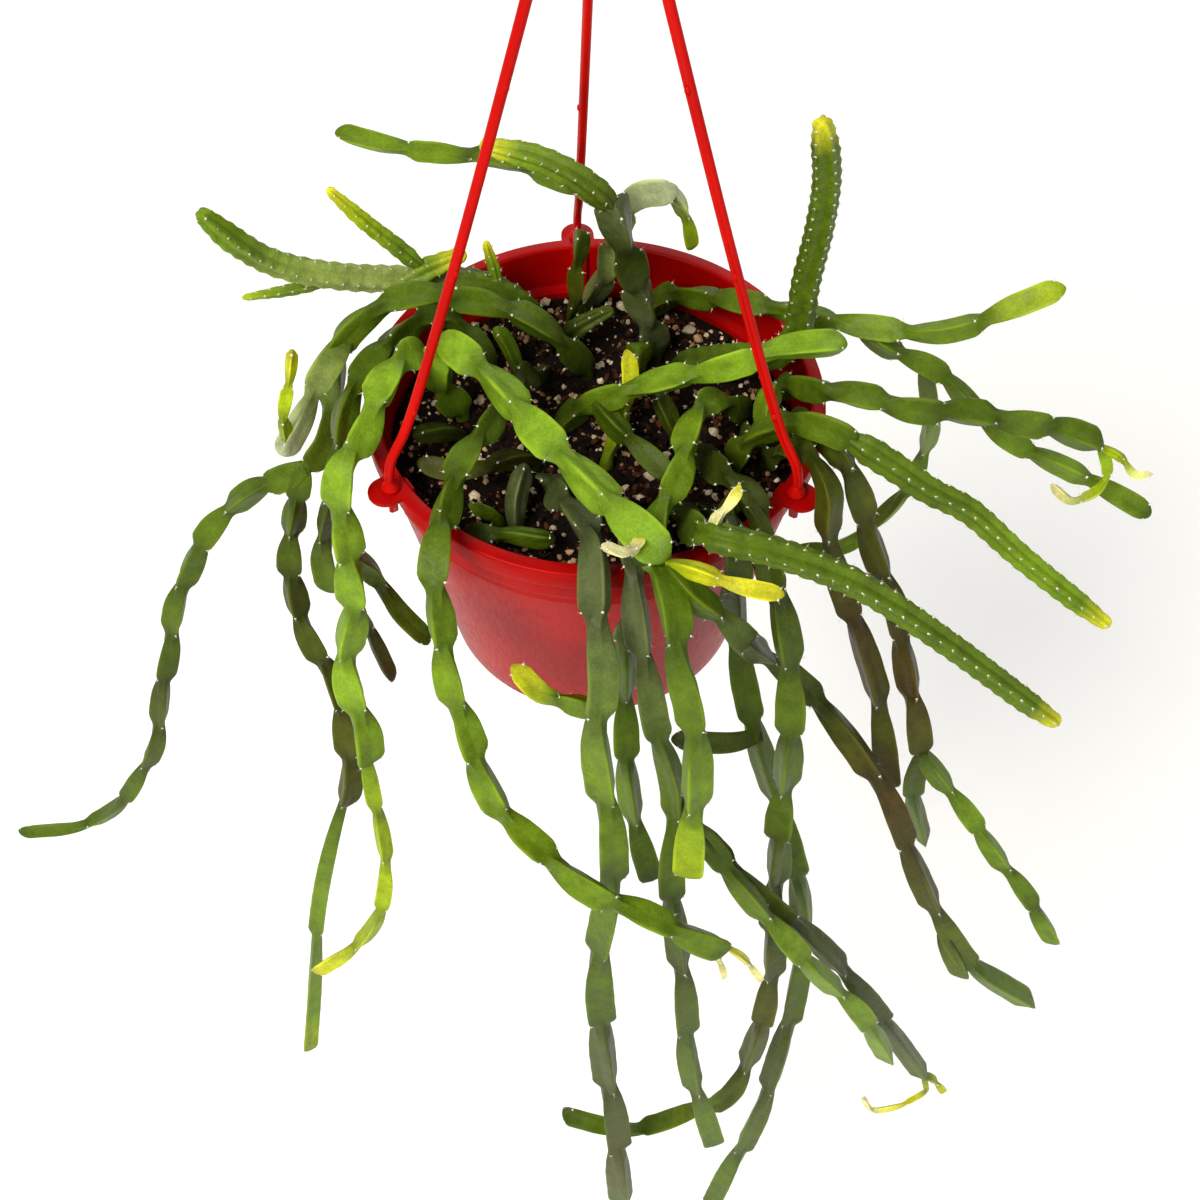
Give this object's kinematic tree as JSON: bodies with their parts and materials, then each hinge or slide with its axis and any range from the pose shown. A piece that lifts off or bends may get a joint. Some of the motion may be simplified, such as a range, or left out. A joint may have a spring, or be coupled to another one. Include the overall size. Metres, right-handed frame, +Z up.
{
  "type": "hanging potted chain cactus",
  "caption": "Jointed, winged cactus stems that arch and trail out of a round plastic pot hung by three strands from a hook.",
  "frame": {"origin": "the point inside the hook that bears on a rail; the middle of the pot's rim lies 245 mm straight below it", "axes": "+Z up along the pot's axis, -Y towards the side where most stems trail, +X to the right of that side"},
  "size_m": [0.4293, 0.237, 0.6907],
  "materials": {
    "pot_plastic": "moulded red polypropylene, glossy",
    "hanger_plastic": "moulded red polypropylene, satin gloss",
    "potting_mix": "loose dark bark mix with pale grit",
    "stem_mid_green": "smooth waxy skin, satin",
    "stem_light_green": "smooth waxy skin, satin",
    "stem_dark_green": "smooth waxy skin with fine fuzz",
    "stem_grey_green": "aged, slightly bleached skin, matt",
    "stem_olive": "smooth skin tanned brown by the sun, satin",
    "stem_yellow_green": "young soft skin, satin"
  },
  "bodies": {
    "root": {"pot": "pot_plastic", "soil": "potting_mix", "hanger": "hanger_plastic", "stem_left_far": "stem_mid_green", "stem_left_inner": "stem_mid_green", "stem_front_arch": "stem_light_green", "stem_upper_left_ribbed": "stem_mid_green", "stem_back_short": "stem_mid_green", "stem_back_tall": "stem_grey_green", "stem_back_pale": "stem_grey_green", "stem_right_back": "stem_mid_green", "stem_right_upright_ribbed": "stem_mid_green", "stem_right_middle": "stem_mid_green", "stem_right_ribbed": "stem_mid_green", "stem_centre": "stem_mid_green", "stem_front_ribbed": "stem_mid_green", "stem_front_left": "stem_dark_green", "stem_front_middle": "stem_dark_green", "stem_front_long": "stem_light_green", "stem_right_front_long": "stem_dark_green", "stem_right_front_low": "stem_dark_green", "stem_right_outer": "stem_olive", "stem_right_outer_branched": "stem_olive", "stem_short_back_left": "stem_mid_green", "stem_short_bristly": "stem_dark_green", "stem_short_front": "stem_dark_green", "stem_short_lying_left": "stem_dark_green", "stem_short_lying_front": "stem_dark_green", "stem_short_sprout": "stem_dark_green", "stem_short_yellow_tip": "stem_yellow_green", "stem_short_cut": "stem_mid_green", "stem_short_middle": "stem_dark_green", "stem_short_right": "stem_dark_green", "stem_short_left": "stem_dark_green", "stem_short_front_right": "stem_dark_green"}
  },
  "joints": []
}
